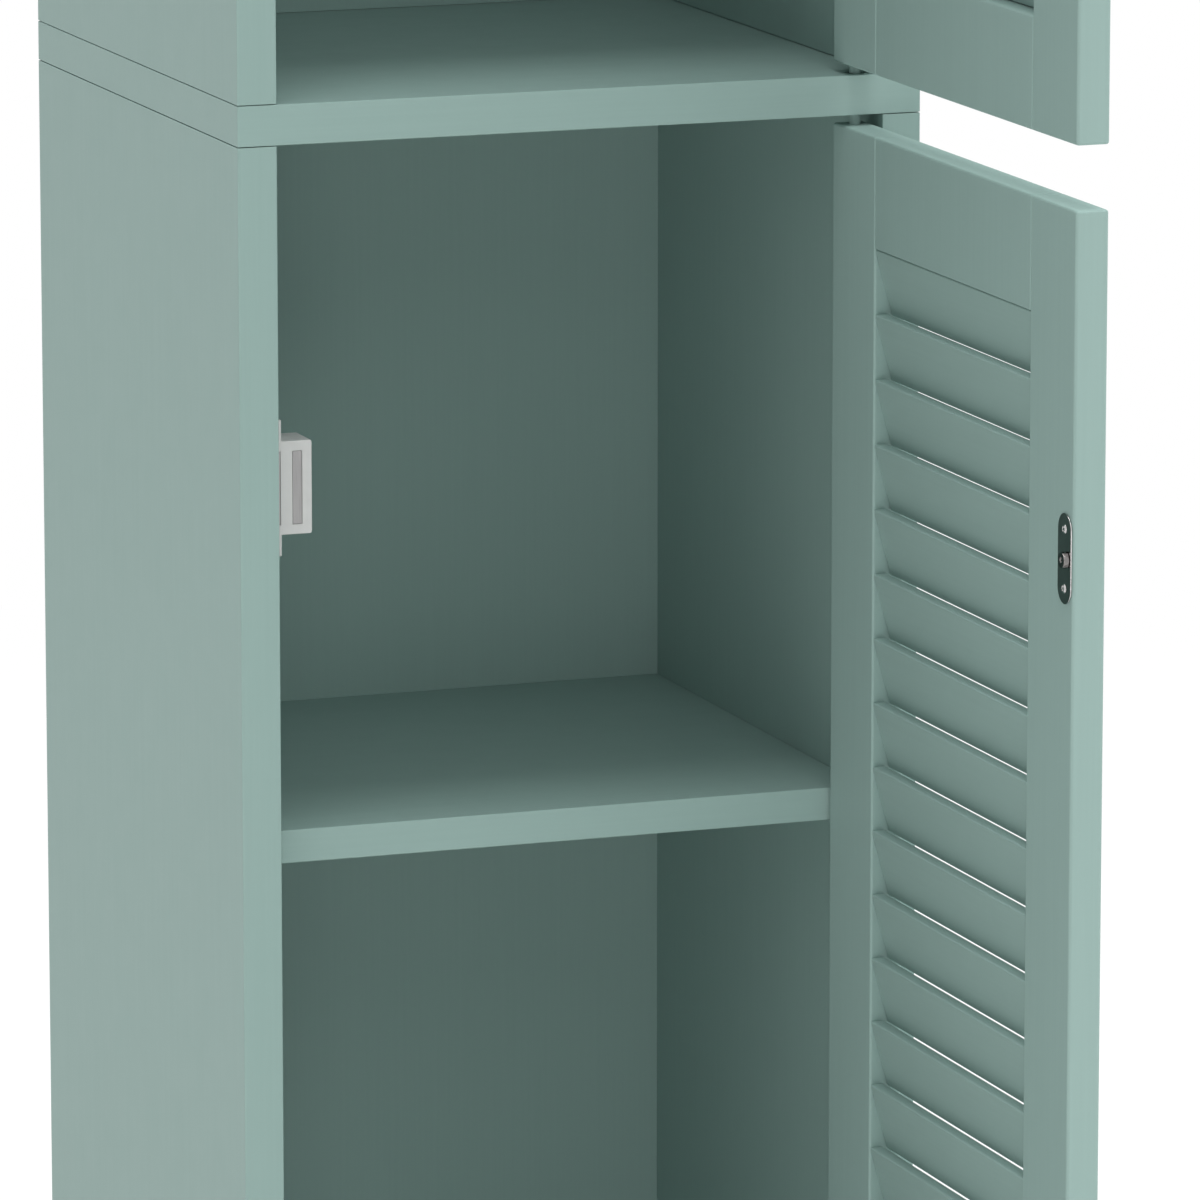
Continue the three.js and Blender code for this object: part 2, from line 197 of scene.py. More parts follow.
class CatchSizes(PropertyGroup):
    base_reach: length("Base Reach", "Thickness of the base on the side panel", 7.2)
    block_height: length("Block Height", "Height of the block that holds the magnet", 42)
    corner_round: length("Corner Round", "Radius of the housing's corners", 1.1)
    hollow_round: length("Hollow Round", "Radius between the block and its base", 0.3)
    base_round: length("Base Round", "Radius of the base's outer corners", 0.35)
    edge_round: length("Edge Round", "Radius of the housing's front and rear edges", 0.5)
    pole_trim: length("Pole Trim", "How far a pole plate's sides lie inside its solid", 0.35)
    pole_round: length("Pole Round", "Radius of a pole plate's edges", 0.15)
    slot_play: length("Slot Play", "Room round a pole plate", 0.15)
    slot_depth: length("Slot Depth", "Depth of the slots for the pole plates", 14.3)
    screw_radius: length("Screw Radius", "Radius of the fixing screws' heads", 2.9)
    screw_drop: length("Screw Drop", "Height from the catch's middle to a fixing screw", 25.75)
    screw_thickness: length("Screw Thickness", "Thickness of a screw's head", 1.1)
    screw_rise: length("Screw Rise", "Height of a screw's rim above the base", 0.1)
    screw_round: length("Screw Round", "Radius of a screw's edges", 0.1)
    screw_crown: length("Screw Crown", "Height of a screw head's middle over its rim", 0.5)
    recess_reach: length("Recess Reach", "Length of a cross recess's arm", 1.9)
    recess_depth: length("Recess Depth", "Depth of a cross recess", 1.1)


class StrikeSizes(PropertyGroup):
    plate_thickness: length("Plate Thickness", "Thickness of the plate", 0.55)
    plate_round: length("Plate Round", "Radius of the plate's edges", 0.2)
    end_flat: length("End Flat", "Half the flat between the arcs at each end", 0.02)
    stud_shank: length("Stud Shank", "Radius of the stud's shank", 1.5)
    stud_gap: length("Stud Gap", "Gap between the stud's head and the plate", 0.25)
    stud_rise: length("Stud Rise", "Height of the stud's end over the plate", 2.65)
    stud_round: length("Stud Round", "Radius of the stud's front edge", 0.25)
    collar_round: length("Collar Round", "Radius of the stud's other edges", 0.1)
    screw_radius: length("Screw Radius", "Radius of the countersunk screws' heads", 2.2)
    screw_drop: length("Screw Drop", "Height from the plate's middle to a screw", 12.8)
    screw_thickness: length("Screw Thickness", "Thickness of a screw's head", 0.6)
    screw_rise: length("Screw Rise", "Height of a screw's rim above the plate", 0.12)
    screw_round: length("Screw Round", "Radius of a screw's edges", 0.1)
    screw_crown: length("Screw Crown", "Height of a screw head's middle over its rim", 0.75)
    recess_reach: length("Recess Reach", "Length of a cross recess's arm", 1.4)
    recess_depth: length("Recess Depth", "Depth of a cross recess", 0.4)


class Finishes(PropertyGroup):
    paint: colour("Paint", "Sage green of the boards", linear(0x91AAA5))
    paint_thin: colour("Thin Paint", "The same paint where it lies thinner", linear(0x93ACA7))
    plastic: colour("Plastic", "White of the catches", linear(0xCBCCCB))
    # The bushes' dark green is painted shade: they are drawn much darker than the paint so that
    # they read as the shadow round each pin's foot
    bush: colour("Bush", "Green of the bushes", linear(0x5E7670))
    steel: colour("Steel", "Steel of the pole plates", linear(0xA3A2A2))
    polish: colour("Polish", "Polished metal of strike plates and their screws", linear(0xC8C7C6))
    stud: colour("Stud", "Metal of studs and catches' screws", linear(0x868382))
    magnet: colour("Magnet", "Grey of the magnets", linear(0x35373A))


class StageSettings(PropertyGroup):
    floor: colour("Floor", "Colour of the floor", linear(0xE6E6E4))
    floor_size: length("Floor Size", "Width of the floor", 6000)
    floor_glow: FloatProperty(
        name="Floor Glow", description="Share of white in the floor as seen", default=0.7, max=1
    )
    fade_start: length("Fade Start", "Where the floor starts to fade into the white", 900)
    fade_end: length("Fade End", "Where the floor is quite white", 2600)
    sky: FloatProperty(name="Sky", description="Brightness of the room", default=0.51, min=0)
    top_power: power("Top Power", "Lamp right over the cabinet", 1250)
    front_power: power("Front Power", "Lamp in front, above the cabinet", 35)
    right_power: power("Right Power", "Lamp on the right, above the cabinet", 62)
    low_power: power("Low Power", "Small lamp near the floor, in front", 5.4)
    rear_power: power("Rear Power", "Lamp behind the cabinet, on the right", 30)
    camera_place: FloatVectorProperty(
        name="Camera Place", description="Where the camera stands", unit="LENGTH",
        default=(-1.38516, -3.81643, 1.31522),
    )
    camera_turn: FloatProperty(
        name="Camera Turn", description="Turn to the right of straight on", unit="ROTATION",
        default=math.radians(20.1416),
    )
    camera_dip: FloatProperty(
        name="Camera Dip", description="Tilt below level", unit="ROTATION",
        default=math.radians(11.1868),
    )
    lens: FloatProperty(name="Lens", description="Focal length in mm", default=277.84, min=1)


# Surfaces


def in_space(flat, along, direction):
    """Points of an outline's plane put in space.

    The two coordinates and the one along the direction take their places among X, Y and Z.
    """
    first, second, third, sign = DIRECTIONS[direction]
    points = np.empty(np.broadcast_shapes(flat.shape[:-1], np.shape(along)) + (3,))
    points[..., first] = flat[..., 0]
    points[..., second] = flat[..., 1]
    points[..., third] = sign * np.asarray(along)
    return points


def rectangle(low, high):
    """Corners of a rectangle, anticlockwise from its lowest."""
    return [low, (high[0], low[1]), high, (low[0], high[1])]


def outline(corners, radii, steps=ARRIS_STEPS):
    """Points, outward normals, mitres and reaches of a closed outline with rounded corners.

    The corners go anticlockwise.
    A corner's arc has its centre at the corner less the radius along the mitre of both sides'
    normals, or plus it at a hollow corner. Each point is the centre plus, or less, the radius
    times a direction that turns evenly from one side's normal to the next one's. The mitre is the
    step by which a sharp corner moves when both its sides move out by one, and the reach is how far
    the outline can shrink before the corner's arc is gone.
    """
    corners = np.asarray(corners, float)
    radii = np.broadcast_to(np.asarray(radii, float), len(corners))
    sides = np.roll(corners, -1, axis=0) - corners
    sides /= np.linalg.norm(sides, axis=1, keepdims=True)
    after = np.stack([sides[:, 1], -sides[:, 0]], axis=1)
    before = np.roll(after, 1, axis=0)
    cosine = (before * after).sum(axis=1)
    sine = before[:, 0] * after[:, 1] - before[:, 1] * after[:, 0]
    signed = (np.sign(sine) * radii)[:, None]
    mitres = (before + after) / (1 + cosine)[:, None]
    centres = corners - signed * mitres
    start = np.arctan2(before[:, 1], before[:, 0])[:, None]
    angles = start + np.arctan2(sine, cosine)[:, None] * np.linspace(0, 1, steps + 1)
    normals = np.stack([np.cos(angles), np.sin(angles)], axis=-1)
    points = centres[:, None] + signed[:, None] * normals
    reaches = np.where(sine > 0, radii, math.inf)
    shared = np.repeat(mitres, steps + 1, axis=0), np.repeat(reaches, steps + 1)[:, None]
    return points.reshape(-1, 2), normals.reshape(-1, 2), *shared


def circle(centre, radius):
    """Points and outward normals of a circle: the centre plus the radius times each direction."""
    angles = np.linspace(0, 2 * math.pi, TURNED_FACETS, endpoint=False)
    normals = np.stack([np.cos(angles), np.sin(angles)], axis=-1)
    return np.asarray(centre) + radius * normals, normals


def carried(section, direction, low, high, end_round):
    """Rows of points and normals of an outline carried from low to high, with rounded ends.

    At each end a turn goes from 0 to 90 degrees. The outline shrinks by the radius times one
    less the turn's sine, and stands in from the end by the radius times one less its cosine.
    A point shrinks along its normal up to its reach, and along its mitre from there.
    """
    flat, normals, mitres, reaches = section
    turn = np.linspace(0, math.pi / 2, ARRIS_STEPS + 1)
    shrink = end_round * (1 - np.sin(turn))
    rise = end_round * (1 - np.cos(turn))
    along = np.concatenate([low + rise, high - rise[::-1]])[:, None]
    shrink = np.concatenate([shrink, shrink[::-1]])[:, None, None]
    sideways = np.concatenate([np.sin(turn), np.sin(turn)[::-1]])[:, None, None]
    lengthways = np.concatenate([-np.cos(turn), np.cos(turn)[::-1]])[:, None]
    rounded = np.minimum(shrink, reaches)
    flat = flat - rounded * normals - (shrink - rounded) * mitres
    points = in_space(flat, along, direction)
    return points, in_space(sideways * normals, lengthways, direction)


def turned(corners, radii, direction, centre, steps=ARRIS_STEPS):
    """Rows of points and normals of a profile turned round an axis.

    The profile's corners are pairs of radius and place along the axis, and its first and last
    lie on the axis. Each row is a circle whose radius is a point of the rounded profile.
    """
    flat, normals = outline(corners, radii, steps)[:2]
    kept = slice(steps + 1, len(flat) - steps - 1)
    directions = circle((0, 0), 1)[0]
    around = np.asarray(centre) + flat[kept, 0][:, None, None] * directions
    points = in_space(around, flat[kept, 1][:, None], direction)
    slopes = normals[kept, 0][:, None, None] * directions
    return points, in_space(slopes, normals[kept, 1][:, None], direction)


def patch(points, normals):
    """Four-sided faces between neighbouring rows of points, closed round each row."""

    def corners(grid):
        grid = np.concatenate([grid, grid[:, :1]], axis=1)
        faces = [grid[:-1, :-1], grid[:-1, 1:], grid[1:, 1:], grid[1:, :-1]]
        return np.stack(faces, axis=2).reshape(-1, 3)

    rows, columns = points.shape[:2]
    return corners(points), corners(normals), np.full((rows - 1) * columns, 4)


def face(points, normals):
    """One flat face."""
    return points, np.broadcast_to(normals, points.shape), np.array([len(points)])


def level_face(flat, level, direction, facing):
    """One flat face across a direction, which it faces or turns its back on."""
    return face(in_space(flat, level, direction), in_space(np.zeros(2), float(facing), direction))


def closed(points, normals, low_end=True, high_end=True):
    """A patch with a flat face over its first and last rows."""
    faces = [patch(points, normals)]
    if low_end:
        faces.append(face(points[0, ::-1], normals[0, ::-1]))
    if high_end:
        faces.append(face(points[-1], normals[-1]))
    return faces


def shouldered(section, tongue_section, direction, low, high, tongue, end_round):
    """A carried outline with a smaller one, the tongue, carried on from both its ends.

    Between the two a flat shoulder joins each point of one outline to the same point of the other.
    """
    points, normals = carried(section, direction, low, high, end_round)
    faces = closed(points, normals, low_end=False, high_end=False)
    flat, around = tongue_section[:2]
    levels = np.array([low - tongue, low, high, high + tongue])[:, None]
    tongues = in_space(flat, levels, direction)
    outwards = np.broadcast_to(in_space(around, 0.0, direction), tongues[:2].shape)
    faces += [patch(tongues[:2], outwards), patch(tongues[2:], outwards)]
    shoulders = (tongues[1], points[0], normals[0]), (points[-1], tongues[2], normals[-1])
    for first, last, facing in shoulders:
        faces.append(patch(np.stack([first, last]), np.stack([facing, facing])))
    faces.append(face(tongues[0, ::-1], normals[0]))
    faces.append(face(tongues[3], normals[-1]))
    return faces


def ring_sides(ring):
    """A ring's four stretches between its farthest points in the four diagonal directions."""
    diagonals = np.array([(-1, -1), (1, -1), (1, 1), (-1, 1)])
    starts = (ring @ diagonals.T).argmax(axis=0)
    counts = (np.roll(starts, -1) - starts) % len(ring) + 1
    return [ring[(start + np.arange(count)) % len(ring)] for start, count in zip(starts, counts)]


def holed(ring, holes, level, direction, facing):
    """Flat faces that fill a ring but for its holes, which stand in a row.

    The faces part along straight lines between the diagonal points of ring and holes.
    """
    near, right, far, left = ring_sides(ring)
    sides = [ring_sides(hole) for hole in holes]
    flats = [
        [near, sides[0][0][::-1]],
        [right, *(hole[1][::-1] for hole in reversed(sides))],
        [far, sides[-1][2][::-1]],
        [left, *(hole[3][::-1] for hole in sides)],
    ]
    flats += [[low[2][::-1], high[0][::-1]] for low, high in zip(sides[:-1], sides[1:])]
    flats = [np.concatenate(flat)[::facing] for flat in flats]
    return [level_face(flat, level, direction, facing) for flat in flats]


def sunk(hole, mouth, floor, direction):
    """The wall and floor of a hole with straight sides, seen from inside it."""
    flat, normals = hole[0][::-1], -hole[1][::-1]
    low, high = sorted((mouth, floor))
    facing = 1 if mouth > floor else -1
    walls = in_space(flat, np.array([low, high])[:, None], direction)
    inwards = np.broadcast_to(in_space(normals, 0.0, direction), walls.shape)
    return [patch(walls, inwards), level_face(flat[::-facing], floor, direction, facing)]


def cross_recess(sizes, rim, crown, level, direction, centre):
    """The far end of a screw or stud with a cross recess, as rows of circles from its rim inwards.

    The end rises from the rim to the middle by the crown times one less the square of the share
    of the rim's radius. Two troughs cross at right angles in the recess's reach. Each falls as its
    sides come near its middle line, up to the full depth there, and rises towards its ends. The
    surface lies lower by the deeper trough's depth. Normals are the cross product of the steps
    along and between rows.
    """
    reach, depth = sizes.recess_reach, sizes.recess_depth
    shares = np.linspace(1, CROSS_MIDDLE, CROSS_ROWS)[:, None, None]
    around = rim * shares * circle((0, 0), 1)[0]
    side = np.clip(1 - np.abs(around) / (CROSS_WIDTH * reach), 0, 1)
    end = np.clip(1 - np.abs(around[..., ::-1]) / reach, 0, 1)
    troughs = np.minimum(1, CROSS_STEEPNESS * side) * np.minimum(1, CROSS_STEEPNESS * end)
    heights = level + crown * (1 - shares[..., 0] ** 2) - depth * troughs.max(axis=-1)
    points = in_space(np.asarray(centre) + around, heights, direction)
    along = np.roll(points, -1, axis=1) - np.roll(points, 1, axis=1)
    normals = np.cross(along, np.gradient(points, axis=0))
    normals /= np.linalg.norm(normals, axis=-1, keepdims=True)
    return closed(points, normals, low_end=False)


def cross_headed(sizes, corners, radii, crown, direction, centre):
    """A turned profile whose far end is crowned and has a cross recess."""
    points, normals = turned(corners, radii, direction, centre, ROUND_STEPS)
    rim = np.linalg.norm(points[-1] - points[-1].mean(axis=0), axis=-1).max()
    faces = closed(points, normals, high_end=False)
    return faces + cross_recess(sizes, rim, crown, corners[-1][1], direction, centre)


def welded(points, normals, sizes):
    """The same faces, less what has no length or area.

    A corner at one place with the corner before it goes, and so does a face of two corners.
    """
    owner = np.repeat(np.arange(len(sizes)), sizes)
    starts = np.cumsum(sizes) - sizes
    before = np.arange(len(points)) - 1
    before[starts] = starts + sizes - 1
    apart = np.abs(points - points[before]).max(axis=1) > WELD
    left = np.bincount(owner[apart], minlength=len(sizes))
    kept = apart & (left[owner] > 2)
    return points[kept], normals[kept], left[left > 2]


def add_object(name, data):
    """A new object in the scene."""
    holder = bpy.data.objects.new(name, data)
    bpy.context.scene.collection.objects.link(holder)
    return holder


def add_piece(name, faces, body, slot, material, *nodes):
    """A mesh piece at the origin that rides on a body and stands for CAD nodes.

    Corners at one place become one point, and each face's corner keeps its own normal.
    """
    points, normals, sizes = welded(*(np.concatenate(part) for part in zip(*faces)))
    _, first, corner = np.unique(
        np.round(points / WELD), axis=0, return_index=True, return_inverse=True
    )
    mesh = bpy.data.meshes.new(name)
    mesh.vertices.add(len(first))
    mesh.vertices.foreach_set("co", points[first].astype(np.float32).ravel())
    mesh.loops.add(len(points))
    mesh.loops.foreach_set("vertex_index", corner.ravel().astype(np.int32))
    mesh.polygons.add(len(sizes))
    mesh.polygons.foreach_set("loop_start", (np.cumsum(sizes) - sizes).astype(np.int32))
    mesh.polygons.foreach_set("use_smooth", np.ones(len(sizes), bool))
    mesh.update(calc_edges=True)
    if mesh.validate():
        raise ValueError(f"{name} has a faulty face")
    mesh.normals_split_custom_set(normals)
    mesh.materials.append(material)
    piece = add_object(name, mesh)
    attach(piece, body)
    if nodes:
        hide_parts(*nodes)


# Finishes


def feed(tree, node, inputs):
    """Sets a node's inputs, or links those whose value is another node's output."""
    for name, value in inputs.items():
        if isinstance(value, bpy.types.NodeSocket):
            tree.links.new(value, node.inputs[name])
        else:
            node.inputs[name].default_value = value


def add_node(tree, kind, output, inputs, **settings):
    """The named output of a new shader node with those inputs and settings."""
    node = tree.nodes.new(f"ShaderNode{kind}")
    for name, value in settings.items():
        setattr(node, name, value)
    feed(tree, node, inputs)
    return node.outputs[output]


def new_material(name):
    """A node material, its tree and its shader."""
    material = bpy.data.materials.new(name)
    material.use_nodes = True
    return material, material.node_tree, material.node_tree.nodes["Principled BSDF"]


def speckle(tree, scale, stretch=(1, 1, 1), detail=2.0):
    """A noise over the piece in its own coordinates, stretched along each axis."""
    place = add_node(tree, "TexCoord", "Object", {})
    place = add_node(tree, "Mapping", "Vector", {"Vector": place, "Scale": stretch})
    inputs = {"Vector": place, "Scale": scale, "Detail": detail}
    return add_node(tree, "TexNoise", "Fac", inputs)


def spread(tree, source, low, high):
    """A noise's middle range spread between two values."""
    inputs = {"Value": source, "To Min": low, "To Max": high}
    inputs["From Min"], inputs["From Max"] = NOISE_RANGE
    return add_node(tree, "MapRange", "Result", inputs)


def blended(tree, source, first, second):
    """A colour that goes from first to second with a noise."""
    inputs = {"Factor": spread(tree, source, 0, 1), "A": (*first, 1), "B": (*second, 1)}
    return add_node(tree, "Mix", "Result", inputs, data_type="RGBA")


def relief(tree, source, depth):
    """A bump of that depth from a noise."""
    return add_node(tree, "Bump", "Normal", {"Height": source, "Distance": depth})


def rougher_ends(tree, rough):
    """A roughness that rises to that of boards' ends with the share of Z in the normal."""
    normal = add_node(tree, "TexCoord", "Normal", {})
    upward = add_node(tree, "SeparateXYZ", "Z", {"Vector": normal})
    share = add_node(tree, "Math", "Value", {0: upward}, operation="ABSOLUTE")
    inputs = {"Value": share, "To Min": rough, "To Max": END_ROUGHNESS}
    return add_node(tree, "MapRange", "Result", inputs)


def paint(name, colours, along, rough_ends=False):
    """Satin paint: faint streaks along one axis, and a fine uneven skin.

    It may be rougher on a board's upper and lower ends, where it soaks in.
    """
    material, tree, shader = new_material(name)
    streaks = speckle(tree, STREAK_SCALE, BRUSHED[along], STREAK_DETAIL)
    rough = spread(tree, speckle(tree, SHEEN_SCALE), *PAINT_ROUGHNESS)
    feed(tree, shader, {
        "Specular IOR Level": PAINT_GLOSS,
        "Base Color": blended(tree, streaks, colours.paint, colours.paint_thin),
        "Roughness": rougher_ends(tree, rough) if rough_ends else rough,
        "Normal": relief(tree, speckle(tree, SKIN_SCALE), SKIN_DEPTH),
    })
    return material


def moulded(name, colours, tone, rough):
    """Moulded plastic: a fine matt grain and a slightly cloudy tone."""
    material, tree, shader = new_material(name)
    tone = np.array(getattr(colours, tone))
    cloud = speckle(tree, CLOUD_SCALE)
    feed(tree, shader, {
        "Base Color": blended(tree, cloud, tone, CLOUD_SHADE * tone),
        "Roughness": spread(tree, cloud, rough, rough + CLOUD_ROUGHNESS),
        "Normal": relief(tree, speckle(tree, GRAIN_SCALE), GRAIN_DEPTH),
    })
    return material


def metal(name, colours, tone, smooth, rough, grain):
    """Metal: roughness between two values along fine drawn lines, and a slightly uneven tone."""
    material, tree, shader = new_material(name)
    tone = np.array(getattr(colours, tone))
    lines = speckle(tree, LINE_SCALE, grain)
    feed(tree, shader, {
        "Metallic": 1,
        "Base Color": blended(tree, lines, tone, LINE_SHADE * tone),
        "Roughness": spread(tree, lines, smooth, rough),
        "Normal": relief(tree, lines, LINE_DEPTH),
    })
    return material


# Each finish: its maker, then for paint the axis of its streaks and whether its ends are rough, for
# plastic its colour and roughness, and for metal its colour, its least and greatest roughness and
# how far its lines are drawn out along each axis
MAKERS = {
    "paint_upright": (paint, "Z"),
    "paint_level": (paint, "X"),
    "paint_frame": (paint, "Z", True),
    "paint_louvre": (paint, "Y"),
    # The bush's dark colour is painted shade round the pins' feet
    "bush_moulded": (moulded, "bush", 0.5),
    "housing_moulded": (moulded, "plastic", 0.38),
    "magnet_grey": (moulded, "magnet", 0.75),
    "pole_ground": (metal, "steel", 0.35, 0.5, (1, 1, 0.04)),
    "screw_steel": (metal, "stud", 0.12, 0.2, (1, 1, 1)),
    "strike_polish": (metal, "polish", 0.07, 0.13, (1, 1, 1)),
}


def finish(context, name):
    """The finish of that name, made when first asked for."""
    maker, *values = MAKERS[name]
    return bpy.data.materials.get(name) or maker(name, context.scene.cabinet_finishes, *values)


# Pieces


def corners_of(node):
    """A CAD node's lowest and highest corners as arrays."""
    return tuple(np.array(corner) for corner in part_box(node))


def round_of(node):
    """An upright round CAD node's centre, radius, foot and top."""
    low, high = corners_of(node)
    return (low + high)[:2] / 2, (high - low)[0] / 2, low[2], high[2]


def rounded_box(low, high, direction, radii, end_round, steps=ARRIS_STEPS):
    """A rounded rectangle carried along one direction from a box's low face to its high one."""
    first, second, third, _ = DIRECTIONS[direction]
    section = outline(rectangle(low[[first, second]], high[[first, second]]), radii, steps)
    return closed(*carried(section, direction, low[third], high[third], end_round))


def plain_board(node, direction, radii, end_round, body, material):
    """A board in a node's place, carried along its length."""
    faces = rounded_box(*corners_of(node), direction, radii, end_round)
    add_piece(f"{node}_painted", faces, body, "painted_board", material, node)


def add_screws(sizes, middle, level, direction, name, body, material):
    """Two countersunk screws over and under a middle, in a face at a level along the direction."""
    first, second = DIRECTIONS[direction][:2]
    radius, outside = sizes.screw_radius, level + sizes.screw_rise
    inside = outside - sizes.screw_thickness
    corners = [(0, inside), (radius, inside), (radius, outside), (0, outside)]
    for end, drop in (("upper", sizes.screw_drop), ("lower", -sizes.screw_drop)):
        centre = (middle + (0, 0, drop))[[first, second]]
        faces = cross_headed(
            sizes, corners, sizes.screw_round, sizes.screw_crown, direction, centre
        )
        add_piece(f"{name}_{end}_screw", faces, body, "strike_steel", material)


class CABINET_OT_carcass(Operator):
    """Boards, side panels, back panels, shelves and toe board"""

    bl_idname = "cabinet.carcass"
    bl_label = "Carcass"

    def execute(self, context):
        sizes = context.scene.cabinet_carcass
        level, upright = finish(context, "paint_level"), finish(context, "paint_upright")
        arris, butt = sizes.arris, sizes.butt_arris
        for node, bushes in SEATED_BOARDS.items():
            self.seated_board(sizes, node, bushes, level)
        plain_board("toe_board", "X", arris, butt, "carcass", level)
        for bay in BAYS:
            for side in ("left", "right"):
                self.side_panel(sizes, f"{bay}_side_{side}", f"{bay}_back_panel", upright)
            plain_board(f"{bay}_shelf", "X", [arris, butt, butt, arris], butt, "carcass", level)
            plain_board(f"{bay}_back_panel", "Z", butt, butt, "carcass", upright)
        return {"FINISHED"}

    def seated_board(self, sizes, node, bushes, material):
        """A level board with round seats for the bushes sunk in its lower and upper faces."""
        low, high = corners_of(node)
        section = outline(rectangle(low[:2], high[:2]), sizes.arris)
        points, normals = carried(section, "Z", low[2], high[2], sizes.arris)
        faces = closed(points, normals, low_end=not bushes[0], high_end=not bushes[1])
        for bush, row, facing in zip(bushes, (0, -1), (-1, 1)):
            if not bush:
                continue
            centre, radius, foot, top = round_of(bush)
            seat = circle(centre, radius + sizes.seat_play)
            mouth = points[row, 0, 2]
            floor = mouth - facing * (top - foot + sizes.seat_play)
            faces += holed(points[row, :, :2], [seat[0]], mouth, "Z", facing)
            faces += sunk(seat, mouth, floor, "Z")
        add_piece(f"{node}_painted", faces, "carcass", "painted_board", material, node)

    def side_panel(self, sizes, node, back_panel, material):
        """An upright panel with a groove for the back panel down its inner face.

        Its ends stand a joint's gap off the boards, but its foot stands on the floor.
        """
        low, high = corners_of(node)
        near, far = corners_of(back_panel)
        near, far = near - sizes.groove_play, far + sizes.groove_play
        corners, radii, on_left = rectangle(low[:2], high[:2]), [sizes.arris] * 4, low[0] < 0
        inner, deep = (high[0], near[0]) if on_left else (low[0], far[0])
        groove = [(inner, near[1]), (deep, near[1]), (deep, far[1]), (inner, far[1])]
        # The groove comes between the two corners of the inner face
        start = 2 if on_left else 4
        corners[start:start] = groove if on_left else groove[::-1]
        radii[start:start] = [sizes.butt_arris] * 4
        foot = low[2] + sizes.joint_gap if low[2] > 0 else low[2]
        top = high[2] - sizes.joint_gap
        faces = closed(*carried(outline(corners, radii), "Z", foot, top, sizes.joint_arris))
        add_piece(f"{node}_painted", faces, "carcass", "painted_board", material, node)


class CABINET_OT_door_frames(Operator):
    """Stiles and rails of both doors"""

    bl_idname = "cabinet.door_frames"
    bl_label = "Door Frames"

    def execute(self, context):
        sizes = context.scene.cabinet_doors
        material = finish(context, "paint_frame")
        outer, inner = sizes.outer_round, sizes.inner_round
        # The long edges' radii, anticlockwise from the one with the lowest X and Y
        stiles = {
            "hinge": [inner, inner, outer, outer],
            "free": [outer, outer, sizes.joint_round, inner],
        }
        for bay in BAYS:
            body = f"{bay}_door"
            for name, radii in stiles.items():
                plain_board(f"{body}_{name}_stile", "Z", radii, inner, body, material)
            self.rail(sizes, body, "top_rail", True, material)
            self.rail(sizes, body, "bottom_rail", False, material)
        return {"FINISHED"}

    def rail(self, sizes, body, name, above, material):
        """A rail between the stiles, with its tenons, above or below the louvres."""
        node = f"{body}_{name}"
        low, high = corners_of(node)
        front = corners_of(f"{body}_free_stile")[1][1]
        rear = corners_of(f"{body}_hinge_stile")[0][1]
        edge, head, foot = sizes.inner_round, sizes.head_round, sizes.foot_round
        radii = [head, edge, edge, head] if above else [edge, foot, foot, edge]
        flat_low = low[[2, 0]] + (-sizes.rail_drop if above else 0, sizes.rail_sink)
        flat_high = high[[2, 0]] - (0, sizes.rail_sink)
        middle, half = (flat_low + flat_high)[1] / 2, sizes.tenon_thickness / 2
        tenon = rectangle(
            (flat_low[0] + sizes.tenon, middle - half), (flat_high[0] - sizes.tenon, middle + half)
        )
        faces = shouldered(
            outline(rectangle(flat_low, flat_high), radii), outline(tenon, sizes.end_round),
            "Y", front, rear, front - low[1], sizes.end_round,
        )
        add_piece(f"{node}_painted", faces, body, "painted_board", material, node)


class CABINET_OT_louvres(Operator):
    """Slats of both doors, tongued into the stiles"""

    bl_idname = "cabinet.louvres"
    bl_label = "Louvres"

    def execute(self, context):
        sizes = context.scene.cabinet_louvres
        material = finish(context, "paint_louvre")
        low, high = corners_of("lower_slat_01")
        pitch = high[2] - corners_of("lower_slat_02")[1][2]
        rise = corners_of("upper_louvre_bank")[1][2] - high[2]
        for index in range(sizes.count):
            number = f"{index + 1:02d}"
            banks = () if index else ("upper_louvre_bank",)
            slats = ("lower", 0, [f"lower_slat_{number}"]), ("upper", rise, banks)
            for bay, lift, nodes in slats:
                name, body = f"{bay}_louvre_{number}", f"{bay}_door"
                faces = self.slat(sizes, low, high, lift - index * pitch)
                add_piece(name, faces, body, "painted_board", material, *nodes)
        return {"FINISHED"}

    def slat(self, sizes, low, high, lift):
        """A slat that leans outwards as it goes down, level along its top and bottom edges."""
        low, high = low + (0, 0, lift), high + (0, 0, lift)
        height = high[2] - low[2]
        lean = (high[0] - low[0] - sizes.thickness) / height

        def section(trim, radii):
            bottom, top = low[2] + trim, high[2] - trim
            foot, head = low[0] + lean * (height - trim), low[0] + lean * trim
            across = sizes.thickness
            corners = [(bottom, foot), (top, head), (top, head + across), (bottom, foot + across)]
            return outline(corners, radii)

        return shouldered(
            section(0, [sizes.slit_round, sizes.front_round] * 2),
            section(sizes.shoulder, sizes.slit_round), "Y",
            low[1] + sizes.tongue, high[1] - sizes.tongue, sizes.tongue, sizes.end_round,
        )


